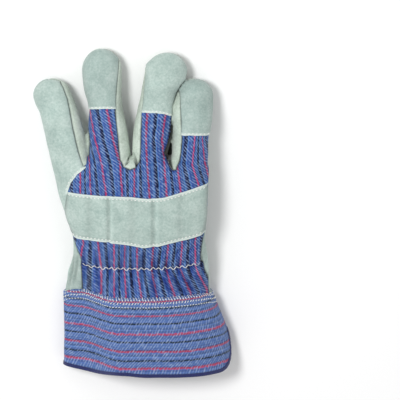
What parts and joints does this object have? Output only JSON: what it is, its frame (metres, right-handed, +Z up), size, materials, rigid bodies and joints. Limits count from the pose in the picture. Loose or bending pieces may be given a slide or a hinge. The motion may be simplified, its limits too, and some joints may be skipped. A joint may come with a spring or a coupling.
{
  "type": "docker glove",
  "caption": "Split leather docker glove for the right hand, with a striped cotton back and an open cotton cuff, lying on its palm with the thumb folded under it.",
  "frame": {"origin": "on the resting surface, under the middle of the glove's bounding box", "axes": "+Y along the hand from the cuff to the fingertips, +Z up out of the back of the hand, +X across the hand to the little finger"},
  "size_m": [0.1586, 0.2654, 0.0518],
  "materials": {
    "leather": "matte suede split leather, pale grey green",
    "cotton": "matte woven cotton twill, blue with red and dark stripes",
    "tape": "matte woven bias tape, dark navy"
  },
  "bodies": {
    "root": {"tip_middle": "leather", "tip_ring": "leather", "tip_small": "leather", "cotton_back": "cotton", "index_back": "leather", "fourchette_index_middle": "leather", "fourchette_middle_ring": "leather", "fourchette_ring_small": "leather", "finger_fronts": "leather", "palm": "leather", "thumb_back": "leather", "thumb_front": "leather", "knuckle_strap": "leather", "cuff": "cotton", "cuff_binding": "tape"}
  },
  "joints": []
}
